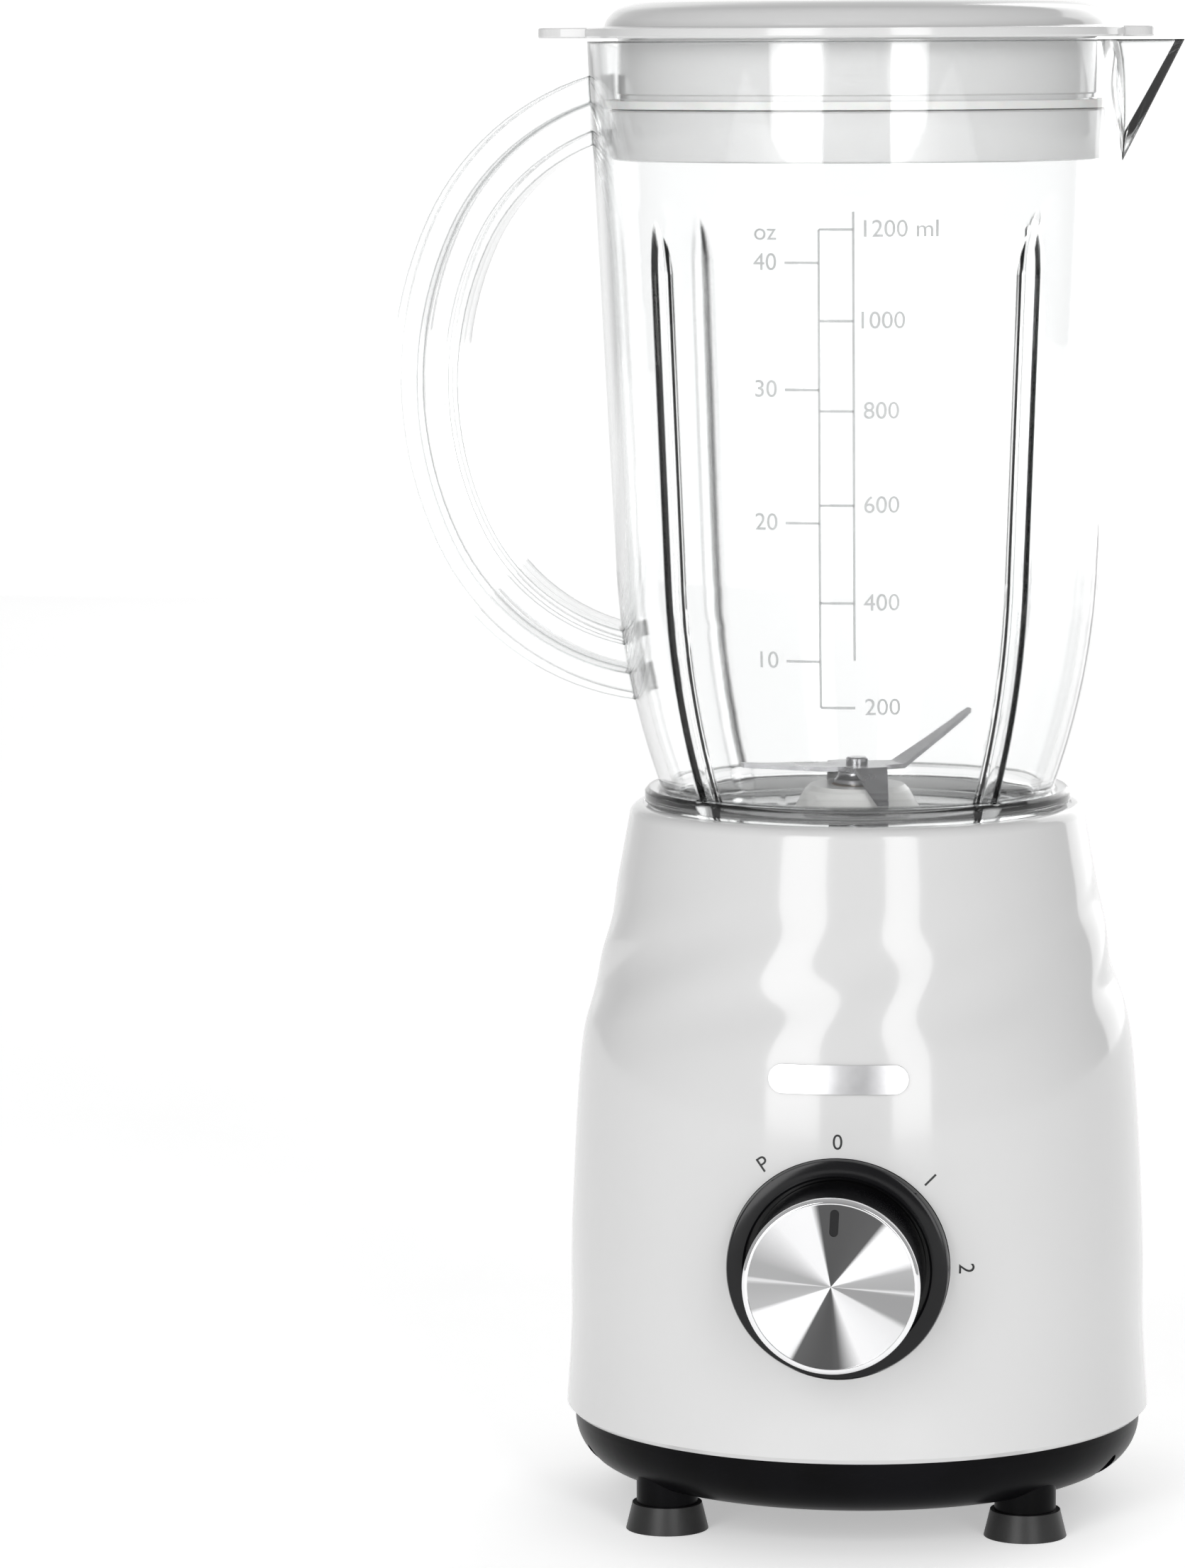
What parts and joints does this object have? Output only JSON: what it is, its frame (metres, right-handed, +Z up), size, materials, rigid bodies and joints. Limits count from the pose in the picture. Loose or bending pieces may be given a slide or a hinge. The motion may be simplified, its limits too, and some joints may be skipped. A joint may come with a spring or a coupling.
{
  "type": "countertop blender",
  "caption": "Kitchen blender: clear tapered jug with side handle, beak and white lid on a waisted white motor base with a front rotary knob and a dark footed pan.",
  "frame": {"origin": "on the worktop under the drive axis, at the middle of the four feet", "axes": "+Z up along the drive axis of motor, jug and lid; -Y out of the control knob; +X towards the pouring beak, -X towards the handle"},
  "size_m": [0.1846, 0.1604, 0.3549],
  "materials": {
    "housing_white": "glossy moulded",
    "lid_white": "glossy moulded",
    "hub_white": "glossy moulded",
    "jug_clear": "clear moulded plastic, gloss",
    "pan_black": "satin moulded",
    "foot_rubber": "matt",
    "knob_black": "gloss moulded",
    "knob_chrome": "plated",
    "knob_aluminium": "spun, fine turned rings",
    "blade_steel": "ground stainless",
    "shaft_steel": "ground",
    "seal_silicone": "translucent white silicone",
    "damper_rubber": "matt",
    "coupling_black": "nylon",
    "screw_zinc": "zinc plated",
    "switch_black": "moulded",
    "cast_aluminium": "die cast",
    "lamination": "stacked laminations",
    "copper": "enamelled copper",
    "bearing_steel": "ground bearing steel",
    "brass": "turned",
    "carbon": "pressed carbon",
    "bronze": "sintered"
  },
  "bodies": {
    "base": {"motor_housing": "housing_white", "bottom_pan": "pan_black", "rubber_feet": "foot_rubber", "bottom_screws": "screw_zinc", "knob_bezel": "knob_black", "switch_body": "switch_black", "badge": "knob_chrome", "stator_core": "lamination", "field_coils": "copper", "upper_bearing": "bearing_steel", "lower_bearing": "bearing_steel", "upper_bracket": "cast_aluminium", "lower_bracket": "cast_aluminium", "motor_dampers": "damper_rubber", "motor_screws": "screw_zinc", "brush_holders": "brass", "carbon_brushes": "carbon", "shaft_seal": "damper_rubber", "cable_gland": "switch_black", "gland_nut": "switch_black", "interlock_switch": "switch_black", "interlock_screws": "screw_zinc", "interlock_spring": "screw_zinc"},
    "knob": {"switch_shaft": "shaft_steel", "knob_barrel": "knob_black", "knob_rim": "knob_chrome", "knob_disc": "knob_aluminium", "knob_pointer": "knob_black"},
    "rotor": {"motor_shaft": "shaft_steel", "armature_core": "lamination", "armature_windings": "copper", "commutator": "copper", "cooling_fan": "coupling_black", "drive_coupling": "coupling_black"},
    "plunger": {"interlock_plunger": "hub_white"},
    "jug": {"jug": "jug_clear", "blade_holder": "hub_white", "holder_gasket": "seal_silicone", "holder_nut": "hub_white", "shaft_bush": "bronze"},
    "blades": {"blade_shaft": "shaft_steel", "blade_spacer": "shaft_steel", "blade": "blade_steel", "blade_rivet": "shaft_steel", "driven_coupling": "coupling_black"},
    "lid": {"lid": "lid_white", "lid_seal": "seal_silicone"}
  },
  "joints": [
    {"name": "knob_turn", "type": "hinge", "parent": "base", "child": "knob", "pos_m": [0, -0.07, 0.0676], "axis": [0, 1, 0], "range_deg": [-36, 91]},
    {"name": "rotor_spin", "type": "hinge", "parent": "base", "child": "rotor", "pos_m": [0, 0, 0.09], "axis": [0, 0, 1], "continuous": true},
    {"name": "plunger_press", "type": "slide", "parent": "base", "child": "plunger", "axis": [0, 0, -1], "range_m": [0, 0.002], "stiffness_N_per_m": 300, "springref_m": -0.0005, "deforming": ["interlock_spring"]},
    {"name": "jug_lift", "type": "slide", "parent": "base", "child": "jug", "axis": [0, 0, 1], "range_m": [0, 0.05]},
    {"name": "blades_spin", "type": "hinge", "parent": "jug", "child": "blades", "pos_m": [0, 0, 0.17], "axis": [0, 0, 1], "continuous": true},
    {"name": "lid_lift", "type": "slide", "parent": "jug", "child": "lid", "axis": [0, 0, 1], "range_m": [0, 0.05]}
  ],
  "couplings": [
    {"joint": "blades_spin", "follows": "rotor_spin", "ratio": 1}
  ]
}
